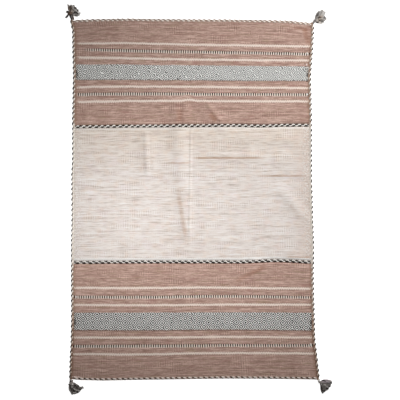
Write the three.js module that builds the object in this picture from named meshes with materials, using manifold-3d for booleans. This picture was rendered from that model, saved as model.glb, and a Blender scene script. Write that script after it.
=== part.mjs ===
// A flat-woven striped rug, lying face up on the floor: one woven cloth, a corded edge along its
// four sides, two thick two-colour twined rows across it and a yarn tassel at each corner.
// Millimetres, +Z up, +X to the right and +Y towards the rug's upper end.
import * as THREE from "three";
import { mergeVertices } from "three/addons/utils/BufferGeometryUtils.js";
import Module from "manifold-3d";

const wasm = await Module();
wasm.setup();

// Driving sizes
const gap = 0.3; // between two pieces that touch
const halfCloth = 590; // about half the cloth's width between the side cords
const clothThickness = 6; // a thick flat weave of ribs about 6 mm apart
const columnCells = 26; // cells of the cloth's mesh from side to side
const rowCells = { above: 10, between: 13, below: 11 }; // and along it, parted by the twined rows
const cordWidth = 16; // the edge cord, a little flattened where it lies
const cordHeight = 9;
const cordSides = 6;
const cordCorner = Math.PI / 6; // the first corner's angle, which lays a flat side on the floor
const outlineShift = -32.5; // puts the middle of the whole outline, tassels included, at the origin

// Where the outer sides of the edge cords run, as uneven as a hand-woven rug's.
const sideOutline = [
  { y: 892, left: -610, right: 610 },
  { y: 845, left: -600, right: 611 },
  { y: 755, left: -599, right: 606 },
  { y: 620, left: -596, right: 596 },
  { y: 400, left: -600, right: 600 },
  { y: 200, left: -600, right: 600 },
  { y: 130, left: -604, right: 600 },
  { y: -90, left: -603, right: 606 },
  { y: -235, left: -606, right: 611 },
  { y: -385, left: -606, right: 609 },
  { y: -560, left: -605, right: 613 },
  { y: -700, left: -607, right: 617 },
  { y: -800, left: -612, right: 629 },
  { y: -895, left: -615, right: 639 },
];
const endOutline = [
  { x: -615, top: 897, bottom: -900 },
  { x: -592, top: 897, bottom: -900 },
  { x: -550, top: 901, bottom: -904 },
  { x: -440, top: 904, bottom: -907 },
  { x: -300, top: 906, bottom: -904 },
  { x: -100, top: 903, bottom: -901 },
  { x: 150, top: 902, bottom: -897 },
  { x: 350, top: 899, bottom: -898 },
  { x: 480, top: 896, bottom: -900 },
  { x: 595, top: 884, bottom: -902 },
  { x: 640, top: 884, bottom: -902 },
];

// The twined rows: the y of each at the left side, the middle and the right side, the way it leans, and where
// it bulges up or down out of its smooth line.
const twinedRows = [
  {
    name: "twined_row_upper", left: 363.5, middle: 369, right: 371.5, turns: 39, lean: 1,
    bulge: { x: 345, rise: -3.5, reach: 130 },
  },
  {
    name: "twined_row_lower", left: -315, middle: -312, right: -315, turns: 38, lean: -1,
    bulge: { x: 430, rise: 8, reach: 200 },
  },
];
const twine = {
  halfWidth: 8, // across a stitch at its widest
  waist: 0.5, // the narrowest radius of a stitch, as a share of the widest
  flatness: 0.45, // height over width
  sides: 6,
  stepsPerTurn: 6,
};
const channel = { depth: 3.8, halfWidth: 8.4, wall: 1.2 };

// Soft creases left from folding, each a low rounded ridge from one point to another.
const creases = [
  { x0: -82, y0: 480, x1: -22, y1: -185, height: 6, reach: 62 },
  { x0: -240, y0: 335, x1: -212, y1: 120, height: 3.5, reach: 60 },
  { x0: -165, y0: 480, x1: -110, y1: 395, height: 3, reach: 56 },
  { x0: 65, y0: 465, x1: 205, y1: 312, height: 4, reach: 58 },
  { x0: 215, y0: 306, x1: 540, y1: 306, height: 4, reach: 58 },
  { x0: 65, y0: 207, x1: 465, y1: 207, height: 3, reach: 56 },
  { x0: 430, y0: 55, x1: 590, y1: -105, height: 4, reach: 58 },
  { x0: 465, y0: -270, x1: 590, y1: -285, height: 3, reach: 56 },
  { x0: 365, y0: -323, x1: 240, y1: -383, height: 4, reach: 56 },
];
const creaseEnd = 90; // how far from its end a crease takes to rise
const flatBorder = 75; // the cloth lies flat this far in from its edges
const leastRise = 0.25; // a lower rise than this lies flat on the floor

// Tassels: the neck runs from the corner to the knot, and the skirt's locks fan out from the knot,
// from one heading to another in degrees, each layer lying on the one below. The longest locks are
// at the fan's peak, a share of the way round it.
const tassels = [
  {
    name: "tassel_top_left",
    corner: { end: "top", x: -597, width: 24 },
    knot: { x: -609, y: 929, length: 24, width: 20, heading: 165 },
    fan: { from: 116, to: -33, shortest: 52, longest: 60, peak: 0.75 },
    strays: [
      { heading: 162, reach: 29 },
      { heading: 222, reach: 36 },
    ],
  },
  {
    name: "tassel_top_right",
    corner: { end: "top", x: 605, width: 15 },
    knot: { x: 614, y: 892, length: 18, width: 14, heading: 40 },
    fan: { from: 75, to: -27, shortest: 42, longest: 73, peak: 0.33 },
    strays: [
      { heading: 92, reach: 28 },
      { heading: -37, reach: 28 },
    ],
  },
  {
    name: "tassel_bottom_left",
    corner: { end: "bottom", x: -599, width: 22 },
    knot: { x: -605, y: -920, length: 27, width: 20, heading: 205 },
    fan: { from: -90, to: -6, shortest: 60, longest: 68, peak: 0.6 },
    strays: [
      { heading: -113, reach: 30 },
      { heading: -96, reach: 43 },
      { heading: 18, reach: 28 },
    ],
  },
  {
    name: "tassel_bottom_right",
    corner: { end: "bottom", x: 629, width: 20 },
    knot: { x: 641, y: -914, length: 22, width: 17, heading: 40 },
    fan: { from: 17, to: -86, shortest: 60, longest: 64, peak: 0.5 },
    strays: [
      { heading: 24, reach: 26 },
      { heading: -108, reach: 22 },
    ],
  },
];
const cornerEase = 6; // the neck starts level with the end cord this far inside its own width
const neckAtKnot = 0.85; // the neck's width where it enters the knot, as a share of the knot's
const knotFlatness = 0.9; // a knot's height over its width
const lockThickness = 5.6;
const lockTip = 0.6; // a lock's tip, as a share of its thickness
const lockSteps = 4;
const lockSettled = 0.5; // how far along its reach a lock has come down to its level
const lockCurl = 5; // degrees that a lock turns aside, more or less, along its reach
const upperShorter = 0.06; // each layer's locks are this share shorter than the layer's below
const everyOtherShorter = 0.05;
const layers = [
  { locks: 7, level: 0, spread: 1 },
  { locks: 6, level: 1, spread: 0.86 },
  { locks: 4, level: 2, spread: 0.62 },
];

const yarnColours = { brown: 0xa88b7d, ecru: 0xd9cfc2, ink: 0x4a413b, slate: 0x6f6b68 };

function yarnMaterial(name, colour) {
  return new THREE.MeshStandardMaterial({ name, color: colour, roughness: 0.95, metalness: 0 });
}

// The value of one column of a table at a place between two of its rows.
function readTable(table, key, column, at) {
  const rows = [...table].sort((a, b) => a[key] - b[key]);
  const next = Math.min(Math.max(rows.findIndex((row) => row[key] >= at), 1), rows.length - 1);
  const upper = at > rows[rows.length - 1][key] ? rows.length - 1 : next;
  const share = (at - rows[upper - 1][key]) / (rows[upper][key] - rows[upper - 1][key]);
  return THREE.MathUtils.lerp(rows[upper - 1][column], rows[upper][column], share);
}

// x at a share of the way from the left side cord's inner face to the right one's.
function across(share, y) {
  const left = readTable(sideOutline, "y", "left", y) + cordWidth + gap;
  const right = readTable(sideOutline, "y", "right", y) - cordWidth - gap;
  return THREE.MathUtils.lerp(left, right, share);
}

const topOfCloth = (x) => readTable(endOutline, "x", "top", x) - cordWidth - gap;
const bottomOfCloth = (x) => readTable(endOutline, "x", "bottom", x) + cordWidth + gap;

// y of a twined row at x, on a smooth curve through its three given points, with its bulge.
function rowLine(row, x) {
  const s = x / halfCloth;
  const slope = (row.right - row.left) / 2;
  const bow = (row.right + row.left) / 2 - row.middle;
  const away = Math.min(Math.abs(x - row.bulge.x) / row.bulge.reach, 1);
  return row.middle + slope * s + bow * s * s + row.bulge.rise * (1 - away * away) ** 2;
}

// How far one crease lifts the cloth at a point.
function ridge(crease, point) {
  const start = new THREE.Vector2(crease.x0, crease.y0);
  const along = new THREE.Vector2(crease.x1, crease.y1).sub(start);
  const length = along.length();
  along.normalize();
  const offset = point.clone().sub(start);
  const travelled = offset.dot(along);
  const aside = Math.abs(offset.cross(along));
  if (aside >= crease.reach) return 0;
  const profile = Math.cos((Math.PI / 2) * (aside / crease.reach)) ** 2;
  const rise = THREE.MathUtils.smoothstep(travelled, -creaseEnd / 2, creaseEnd / 2);
  const fall = 1 - THREE.MathUtils.smoothstep(travelled, length - creaseEnd / 2, length + creaseEnd / 2);
  return crease.height * profile * rise * fall;
}

// Height of the cloth's underside above the floor.
function lift(x, y) {
  const point = new THREE.Vector2(x, y);
  const highest = creases.reduce((most, crease) => Math.max(most, ridge(crease, point)), 0);
  const fromSide = halfCloth - Math.abs(x);
  const fromEnd = Math.min(topOfCloth(x) - y, y - bottomOfCloth(x));
  const border = THREE.MathUtils.smoothstep(Math.min(fromSide, fromEnd), 0, flatBorder);
  const height = highest * border;
  return height < leastRise ? 0 : height;
}

// A closed geometry with shared vertices.
function joined(geometry) {
  geometry.deleteAttribute("normal");
  geometry.deleteAttribute("uv");
  return mergeVertices(geometry, 1e-4);
}

// The cloth's mesh rows, from its top to its bottom, each as a share of the way between two courses.
// A channel is lifted evenly from side to side, so that the row in it lies level.
function clothRows() {
  const [upper, lower] = twinedRows;
  const rim = channel.halfWidth + channel.wall;
  const floor = clothThickness - channel.depth;
  const course = (y, thickness, cells, liftedAt) => ({ y, thickness, cells, liftedAt });
  const channelCourses = (row, cellsAbove) => {
    const line = (x) => rowLine(row, x);
    return [
      course((x) => line(x) + rim, clothThickness, cellsAbove, line),
      course((x) => line(x) + channel.halfWidth, floor, 1, line),
      course((x) => line(x) - channel.halfWidth, floor, 1, line),
      course((x) => line(x) - rim, clothThickness, 1, line),
    ];
  };
  const courses = [
    course(topOfCloth, clothThickness, 0),
    ...channelCourses(upper, rowCells.above),
    ...channelCourses(lower, rowCells.between),
    course(bottomOfCloth, clothThickness, rowCells.below),
  ];
  const found = [{ from: courses[0], to: courses[0], share: 0 }];
  for (let i = 1; i < courses.length; i += 1) {
    for (let cell = 1; cell <= courses[i].cells; cell += 1) {
      found.push({ from: courses[i - 1], to: courses[i], share: cell / courses[i].cells });
    }
  }
  return found;
}

const meshRows = clothRows();

// The point where a mesh row crosses a share of the cloth's width, with the thickness and lift there.
function clothPoint(row, share) {
  const { lerp } = THREE.MathUtils;
  const yAt = (x) => lerp(row.from.y(x), row.to.y(x), row.share);
  const liftedAt = (row.share === 1 && row.to.liftedAt) || yAt;
  const x = across(share, yAt(lerp(-halfCloth, halfCloth, share)));
  const thickness = lerp(row.from.thickness, row.to.thickness, row.share);
  return { x, y: yAt(x), thickness, lift: lift(x, liftedAt(x)) };
}

function clothGeometry() {
  const cells = meshRows.length - 1;
  const geometry = new THREE.BoxGeometry(1, 1, 1, columnCells, cells, 1);
  const position = geometry.getAttribute("position");
  for (let i = 0; i < position.count; i += 1) {
    const row = meshRows[Math.round((0.5 - position.getY(i)) * cells)];
    const point = clothPoint(row, position.getX(i) + 0.5);
    const upperFace = position.getZ(i) > 0;
    position.setXYZ(i, point.x, point.y, point.lift + (upperFace ? point.thickness : 0));
  }
  return joined(geometry);
}

// A closed cord through a row of sections. Each section has its centre, its half width to the right
// of the way the cord runs and its half height, and may have a radius that changes round it.
function cordGeometry(sections, sides, firstCorner) {
  const steps = sections.length - 1;
  const geometry = new THREE.CylinderGeometry(1, 1, 1, sides, steps, false, firstCorner);
  const position = geometry.getAttribute("position");
  for (let i = 0; i < position.count; i += 1) {
    const section = sections[Math.round((position.getY(i) + 0.5) * steps)];
    const [right, up] = [position.getX(i), position.getZ(i)];
    const radius = section.radius ? section.radius(Math.atan2(right, up)) : 1;
    const point = section.centre.clone();
    point.addScaledVector(section.halfWidth, right * radius);
    point.addScaledVector(section.halfHeight, up * radius);
    position.setXYZ(i, point.x, point.y, point.z);
  }
  return joined(geometry);
}

// A six-sided section with a flat underside on the floor.
function floorSection(x, y, halfWidth, height) {
  return {
    centre: new THREE.Vector3(x, y, height / 2),
    halfWidth,
    halfHeight: new THREE.Vector3(0, 0, height / 2 / Math.cos(cordCorner)),
  };
}

// A side cord runs from the bottom corner to the top one, beside the ends of the cloth's rows.
function sideCordGeometry(side) {
  const share = side === "left" ? 0 : 1;
  const outward = side === "left" ? -1 : 1;
  const corner = outward * (halfCloth + cordWidth);
  const ys = meshRows.map((row) => clothPoint(row, share).y).reverse();
  ys.unshift(readTable(endOutline, "x", "bottom", corner));
  ys.push(readTable(endOutline, "x", "top", corner));
  const halfWidth = new THREE.Vector3(cordWidth / 2, 0, 0);
  const sections = ys.map((y) => {
    const x = across(share, y) + outward * (gap + cordWidth / 2);
    return floorSection(x, y, halfWidth, cordHeight);
  });
  return cordGeometry(sections, cordSides, cordCorner);
}

// An end cord lies between the side cords, its ends cut to their line.
function endCordGeometry(end) {
  const inward = end === "top" ? -1 : 1;
  const clothEdge = end === "top" ? meshRows[0] : meshRows[meshRows.length - 1];
  const sections = [];
  for (let column = 0; column <= columnCells; column += 1) {
    const share = column / columnCells;
    const inner = clothPoint(clothEdge, share).y - inward * gap;
    const outer = inner - inward * cordWidth;
    const [low, high] = [Math.min(inner, outer), Math.max(inner, outer)];
    const bottom = new THREE.Vector3(across(share, low), low, 0);
    const top = new THREE.Vector3(across(share, high), high, 0);
    const middle = bottom.clone().add(top).divideScalar(2);
    const halfWidth = bottom.clone().sub(top).divideScalar(2);
    sections.push(floorSection(middle.x, middle.y, halfWidth, cordHeight));
  }
  return cordGeometry(sections, cordSides, cordCorner);
}

// The lift of a channel's floor at a share of the width, which runs straight between mesh columns.
function channelLift(row, share) {
  const column = Math.min(Math.floor(share * columnCells), columnCells - 1);
  const [before, after] = [column, column + 1].map((mark) => {
    const y = rowLine(row, THREE.MathUtils.lerp(-halfCloth, halfCloth, mark / columnCells));
    return lift(across(mark / columnCells, y), y);
  });
  return THREE.MathUtils.lerp(before, after, share * columnCells - column);
}

// A twined row: two strands turning about each other, so that its stitches stand up as leaning lumps.
function twinedRowGeometry(row) {
  const steps = row.turns * twine.stepsPerTurn;
  const halfHeight = twine.halfWidth * twine.flatness;
  const sections = [];
  for (let step = 0; step <= steps; step += 1) {
    const share = step / steps;
    const y = rowLine(row, THREE.MathUtils.lerp(-halfCloth, halfCloth, share));
    const turn = row.lean * 2 * Math.PI * (step / twine.stepsPerTurn);
    const level = channelLift(row, share) + clothThickness - channel.depth + gap + halfHeight;
    sections.push({
      centre: new THREE.Vector3(across(share, y), y, level),
      halfWidth: new THREE.Vector3(0, -twine.halfWidth, 0),
      halfHeight: new THREE.Vector3(0, 0, halfHeight),
      radius: (angle) => 1 - (1 - twine.waist) * (0.5 - 0.5 * Math.cos(2 * (angle - turn))),
    });
  }
  return cordGeometry(sections, twine.sides, 0);
}

// The solid that a closed geometry bounds.
function solidOf(geometry) {
  return new wasm.Manifold(
    new wasm.Mesh({
      numProp: 3,
      vertProperties: new Float32Array(geometry.getAttribute("position").array),
      triVerts: new Uint32Array(geometry.index.array),
    }),
  );
}

function geometryOf(solid) {
  const mesh = solid.getMesh();
  const geometry = new THREE.BufferGeometry();
  geometry.setAttribute("position", new THREE.BufferAttribute(mesh.vertProperties, 3));
  geometry.setIndex(new THREE.BufferAttribute(mesh.triVerts, 1));
  return geometry;
}

// One lock of yarn, four-sided, from the knot's middle out along its heading and down to its level.
function lockGeometry(start, heading, reach, curl, level) {
  const lying = lockThickness / 2 + level * (lockThickness + gap);
  const sections = [];
  for (let step = 0; step <= lockSteps; step += 1) {
    const share = step / lockSteps;
    const angle = THREE.MathUtils.degToRad(heading + curl * share);
    const settled = Math.min(1, share / lockSettled);
    const half = (lockThickness / 2) * THREE.MathUtils.lerp(1, lockTip, share ** 2);
    const bottom = THREE.MathUtils.lerp(start.z, lying, settled) - lockThickness / 2;
    const direction = new THREE.Vector3(Math.cos(angle), Math.sin(angle), 0);
    const centre = direction.clone().multiplyScalar(reach * share).add(start);
    centre.z = bottom + half;
    sections.push({
      centre,
      halfWidth: new THREE.Vector3(direction.y, -direction.x, 0).multiplyScalar(half * Math.SQRT2),
      halfHeight: new THREE.Vector3(0, 0, half * Math.SQRT2),
    });
  }
  return cordGeometry(sections, 4, Math.PI / 4);
}

// The neck tapers from the corner of the rug to the knot, each section square to +Y. It starts
// just clear of the cords that meet at the corner.
function neckGeometry({ corner, knot }) {
  const onward = corner.end === "top" ? 1 : -1;
  const inside = corner.x - Math.sign(corner.x) * (corner.width / 2 + cornerEase);
  const start = readTable(endOutline, "x", corner.end, inside) + onward * gap;
  const sections = [0, 0.5, 1].map((share) => {
    const width = THREE.MathUtils.lerp(corner.width, knot.width * neckAtKnot, share);
    const x = THREE.MathUtils.lerp(corner.x, knot.x, share);
    const y = THREE.MathUtils.lerp(start, knot.y, share);
    return floorSection(x, y, new THREE.Vector3((onward * width) / 2, 0, 0), cordHeight);
  });
  return cordGeometry(sections, cordSides, cordCorner);
}

function knotGeometry(knot, height) {
  const geometry = new THREE.SphereGeometry(1, 10, 6);
  geometry.rotateX(Math.PI / 2);
  geometry.scale(knot.length / 2, knot.width / 2, height / 2);
  geometry.rotateZ(THREE.MathUtils.degToRad(knot.heading));
  geometry.translate(knot.x, knot.y, height / 2);
  return joined(geometry);
}

function tasselGeometry(tassel) {
  const { knot, fan, strays } = tassel;
  const knotHeight = knot.width * knotFlatness;
  const root = new THREE.Vector3(knot.x, knot.y, knotHeight / 2);
  let solid = solidOf(neckGeometry(tassel)).add(solidOf(knotGeometry(knot, knotHeight)));
  for (const layer of layers) {
    for (let i = 0; i < layer.locks; i += 1) {
      const place = 0.5 + layer.spread * ((i + 0.5) / layer.locks - 0.5);
      const heading = THREE.MathUtils.lerp(fan.from, fan.to, place);
      const bulge = Math.sin(Math.PI * place ** (Math.log(0.5) / Math.log(fan.peak)));
      const reach = THREE.MathUtils.lerp(fan.shortest, fan.longest, bulge);
      const uneven = 1 - upperShorter * layer.level - everyOtherShorter * (i % 2);
      const curl = lockCurl * Math.sin(2 * i + 3 * layer.level);
      solid = solid.add(solidOf(lockGeometry(root, heading, reach * uneven, curl, layer.level)));
    }
  }
  for (const stray of strays) {
    solid = solid.add(solidOf(lockGeometry(root, stray.heading, stray.reach, 0, 0)));
  }
  return geometryOf(solid);
}

function addPiece(group, name, geometry, material) {
  const mesh = new THREE.Mesh(geometry, material);
  mesh.name = name;
  group.add(mesh);
}

const weft = yarnMaterial("weft", yarnColours.brown);
const twist = yarnMaterial("twist", yarnColours.ink);
const edging = yarnMaterial("edging", yarnColours.ecru);
const tasselYarn = yarnMaterial("tassel_yarn", yarnColours.slate);

const rug = new THREE.Group();
rug.position.x = outlineShift;
addPiece(rug, "rug_cloth", clothGeometry(), weft);
for (const row of twinedRows) addPiece(rug, row.name, twinedRowGeometry(row), twist);
for (const side of ["left", "right"]) addPiece(rug, `side_cord_${side}`, sideCordGeometry(side), edging);
for (const end of ["top", "bottom"]) addPiece(rug, `end_cord_${end}`, endCordGeometry(end), edging);
for (const tassel of tassels) addPiece(rug, tassel.name, tasselGeometry(tassel), tasselYarn);

export default rug;
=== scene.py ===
import math
import random

import bmesh
import bpy
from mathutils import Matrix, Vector, noise


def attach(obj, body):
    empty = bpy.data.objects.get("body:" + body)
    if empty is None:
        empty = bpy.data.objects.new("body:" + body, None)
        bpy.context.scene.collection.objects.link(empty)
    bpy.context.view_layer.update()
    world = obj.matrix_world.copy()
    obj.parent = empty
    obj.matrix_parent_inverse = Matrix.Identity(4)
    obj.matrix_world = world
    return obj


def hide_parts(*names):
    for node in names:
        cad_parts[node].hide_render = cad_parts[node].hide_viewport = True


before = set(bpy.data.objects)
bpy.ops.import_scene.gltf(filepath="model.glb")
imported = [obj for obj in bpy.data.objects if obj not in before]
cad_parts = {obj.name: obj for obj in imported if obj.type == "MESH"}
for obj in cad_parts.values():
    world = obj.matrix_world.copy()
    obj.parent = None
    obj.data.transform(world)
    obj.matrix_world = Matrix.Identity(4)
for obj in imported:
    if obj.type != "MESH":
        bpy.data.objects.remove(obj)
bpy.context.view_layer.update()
print("solids loaded:", len(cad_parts))


# Shader helpers. What they take is a value or another node's output, and what they give is a node's output

def treeOf(values):
    return next(value.id_data for value in values if isinstance(value, bpy.types.NodeSocket))


def feed(socket, value):
    if isinstance(value, bpy.types.NodeSocket):
        socket.id_data.links.new(value, socket)
    else:
        socket.default_value = value


def fill(node, *values):  # feeds a node's inputs in their order
    for socket, value in zip(node.inputs, values):
        feed(socket, value)
    return node.outputs[0]


def calc(operation, *values):
    node = treeOf(values).nodes.new("ShaderNodeMath")
    node.operation = operation
    return fill(node, *values)


def add(first, second):
    return calc("ADD", first, second)


def subtract(first, second):
    return calc("SUBTRACT", first, second)


def multiply(first, second):
    return calc("MULTIPLY", first, second)


def divide(first, second):
    return calc("DIVIDE", first, second)


def remap(value, low, high, toLow=0.0, toHigh=1.0, kind="SMOOTHSTEP"):
    node = value.id_data.nodes.new("ShaderNodeMapRange")
    node.interpolation_type = kind
    return fill(node, value, low, high, toLow, toHigh)


def split(vector):  # its X and Y
    node = vector.id_data.nodes.new("ShaderNodeSeparateXYZ")
    fill(node, vector)
    return node.outputs[0], node.outputs[1]


def joined(*values):
    return fill(treeOf(values).nodes.new("ShaderNodeCombineXYZ"), *values)


def noiseAt(vector, scale, detail=2.0, roughness=0.5):
    node = vector.id_data.nodes.new("ShaderNodeTexNoise")
    for label, value in (("Vector", vector), ("Scale", scale), ("Detail", detail), ("Roughness", roughness)):
        feed(node.inputs[label], value)
    return node.outputs[0]


def mixed(factor, first, second, mode="MIX"):
    node = treeOf((factor, first, second)).nodes.new("ShaderNodeMix")
    node.data_type = "RGBA"
    node.blend_type = mode
    for number, value in ((0, factor), (6, first), (7, second)):
        feed(node.inputs[number], value)
    return node.outputs[2]


def ramp(value, places, colours):
    node = value.id_data.nodes.new("ShaderNodeValToRGB")
    elements = node.color_ramp.elements
    while len(elements) < len(places):
        elements.new(0.5)
    for element, position, colour in zip(elements, places, colours):
        element.position = position
        element.color = colour
    return fill(node, value)


def dye(red, green, blue):  # a colour on screen, 0 to 255, as a shader colour
    def linear(c):
        c = c / 255
        return c / 12.92 if c <= 0.04045 else ((c + 0.055) / 1.055) ** 2.4
    return (linear(red), linear(green), linear(blue), 1.0)


def startGroup(name, inputs, outputs):  # gives the group, what comes into it and where its results go
    group = bpy.data.node_groups.new(name, "ShaderNodeTree")
    for labels, way in ((inputs, "INPUT"), (outputs, "OUTPUT")):
        for label in labels.split():
            kind = "NodeSocketVector" if label == "vector" else "NodeSocketFloat"
            group.interface.new_socket(label, in_out=way, socket_type=kind)
    given = group.nodes.new("NodeGroupInput").outputs[:len(inputs.split())]
    return group, given, group.nodes.new("NodeGroupOutput").inputs


def useGroup(group, *values):
    node = treeOf(values).nodes.new("ShaderNodeGroup")
    node.node_tree = group
    first = fill(node, *values)
    return node.outputs if len(node.outputs) > 1 else first


# Shader groups that the cloth and the yarns share

def makeStripeGroup():
    group, (place, centre, half, edge), out = startGroup("stripe", "place centre half edge", "mask")
    away = calc("ABSOLUTE", subtract(place, centre))
    feed(out["mask"], remap(away, subtract(half, edge), add(half, edge), 1.0, 0.0))
    return group


def makeStreakGroup():
    group, (vector, length, height, seed), out = startGroup(
        "yarnStreaks", "vector length height seed", "value")
    x, y = split(vector)
    cloudy = noiseAt(joined(divide(x, length), divide(y, height), seed), 1.0, 2.5, 0.55)
    feed(out["value"], remap(cloudy, 0.28, 0.72, kind="LINEAR"))
    return group


def makeRibGroup():
    group, (vector, ribWidth, pickHeight), out = startGroup(
        "ribbedWeave", "vector ribWidth pickHeight", "height ridge parity")
    x, y = split(vector)
    rib = divide(x, ribWidth)
    parity = calc("FLOOR", multiply(calc("FRACT", divide(rib, 2.0)), 2.0))
    ridge = calc("SINE", multiply(calc("FRACT", rib), math.pi))
    pick = add(divide(y, pickHeight), multiply(parity, 0.5))
    lump = remap(calc("COSINE", multiply(pick, 2 * math.pi)), -1.0, 1.0, kind="LINEAR")
    raised = calc("SQRT", calc("ABSOLUTE", ridge))
    feed(out["height"], multiply(raised, add(multiply(lump, 0.15), 0.85)))
    feed(out["ridge"], ridge)
    feed(out["parity"], parity)
    return group


def makeDiamondGroup():
    group, (vector, ribWidth, rowHeight, reach), out = startGroup(
        "nestedDiamonds", "vector ribWidth rowHeight reach", "mask")
    x, y = split(vector)
    across = calc("PINGPONG", divide(x, ribWidth), reach)
    along = calc("PINGPONG", divide(y, rowHeight), reach)
    rings = calc("SINE", multiply(add(across, along), math.pi))
    feed(out["mask"], remap(rings, -0.14, 0.14))
    return group


def makeFoldGroup():
    group, (vector, fromX, fromY, alongX, alongY, length, reach), out = startGroup(
        "foldLine", "vector fromX fromY alongX alongY length reach", "profile")
    spotX, spotY = split(vector)
    x = subtract(spotX, fromX)
    y = subtract(spotY, fromY)
    share = divide(add(multiply(x, alongX), multiply(y, alongY)), length)
    aside = subtract(multiply(x, alongY), multiply(y, alongX))
    rise = multiply(remap(share, -0.12, 0.18), remap(share, 0.82, 1.12, 1.0, 0.0))
    away = calc("MINIMUM", calc("ABSOLUTE", divide(aside, reach)), 1.0)
    across = calc("POWER", subtract(1.0, multiply(away, away)), 2.0)
    feed(out["profile"], multiply(rise, across))
    return group


def makePlyGroup():
    group, (vector, turns, plies), out = startGroup("spunPlies", "vector turns plies", "height")
    x, y = split(vector)
    wound = add(multiply(x, turns), multiply(y, plies))
    wave = calc("ABSOLUTE", calc("SINE", multiply(wound, math.pi)))
    feed(out["height"], calc("SQRT", wave))
    return group


stripeGroup = makeStripeGroup()
streakGroup = makeStreakGroup()
ribGroup = makeRibGroup()
diamondGroup = makeDiamondGroup()
foldGroup = makeFoldGroup()
plyGroup = makePlyGroup()


def startMaterial(name, roughness, sheen):
    material = bpy.data.materials.new(name)
    material.use_nodes = True
    tree = material.node_tree
    shader = tree.nodes["Principled BSDF"]
    shader.inputs["Roughness"].default_value = roughness
    shader.inputs["Specular IOR Level"].default_value = 0.2
    shader.inputs["Sheen Weight"].default_value = sheen
    return material, tree, shader


def layerSpot(tree, layer):  # the coordinates of a piece's own UV layer
    node = tree.nodes.new("ShaderNodeUVMap")
    node.uv_map = layer
    return node.outputs[0]


def objectSpot(tree):
    return tree.nodes.new("ShaderNodeTexCoord").outputs["Object"]


def addBump(shader, height, depth, strength, under=None):
    bump = height.id_data.nodes.new("ShaderNodeBump")
    bump.inputs["Distance"].default_value = depth
    bump.inputs["Strength"].default_value = strength
    feed(bump.inputs["Height"], height)
    if under:
        feed(bump.inputs["Normal"], under)
    feed(shader.inputs["Normal"], bump.outputs[0])
    return bump.outputs[0]


def addObject(name, data):
    thing = bpy.data.objects.new(name, data)
    bpy.context.scene.collection.objects.link(thing)
    return thing


def addMeshObject(name, bm):
    mesh = bpy.data.meshes.new(name)
    bm.to_mesh(mesh)
    bm.free()
    return addObject(name, mesh)


def finishPiece(piece, node):
    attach(piece, "root")
    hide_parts(node)


# The rug's form, in metres, the same as its solids have: X across, Y along, the floor at 0

rugForm = {
    "shift": -0.0325,  # across, which puts the middle of the whole outline at the origin
    "halfCloth": 0.590,
    "thickness": 0.006,
    "gap": 0.0003,
    "cordWidth": 0.016,
    "cordStop": 0.002,  # how far inside the cloth's sides the end cords stop
    "flatBorder": 0.075,
    "creaseEnd": 0.090,
}
# The outer edges of the cords: x at these places along the sides, and y at these across the ends
sideStations = (-0.895, -0.800, -0.700, -0.560, -0.385, -0.235, -0.090, 0.130, 0.200, 0.400, 0.620, 0.755,
                0.845, 0.892)
endStations = (-0.615, -0.592, -0.550, -0.440, -0.300, -0.100, 0.150, 0.350, 0.480, 0.595, 0.640)
outline = {
    "left": (-0.615, -0.612, -0.607, -0.605, -0.606, -0.606, -0.603, -0.604, -0.600, -0.600, -0.596, -0.599,
             -0.600, -0.610),
    "right": (0.639, 0.629, 0.617, 0.613, 0.609, 0.611, 0.606, 0.600, 0.600, 0.600, 0.596, 0.606,
              0.611, 0.610),
    "top": (0.897, 0.897, 0.901, 0.904, 0.906, 0.903, 0.902, 0.899, 0.896, 0.884, 0.884),
    "bottom": (-0.900, -0.900, -0.904, -0.907, -0.904, -0.901, -0.897, -0.898, -0.900, -0.902, -0.902),
}
creases = [  # from x, y to x, y, height, reach
    (-0.082, 0.480, -0.022, -0.185, 0.006, 0.062),
    (-0.240, 0.335, -0.212, 0.120, 0.0035, 0.060),
    (-0.165, 0.480, -0.110, 0.395, 0.003, 0.056),
    (0.065, 0.465, 0.205, 0.312, 0.004, 0.058),
    (0.215, 0.306, 0.540, 0.306, 0.004, 0.058),
    (0.065, 0.207, 0.465, 0.207, 0.003, 0.056),
    (0.430, 0.055, 0.590, -0.105, 0.004, 0.058),
    (0.465, -0.270, 0.590, -0.285, 0.003, 0.056),
    (0.365, -0.323, 0.240, -0.383, 0.004, 0.056),
]
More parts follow.
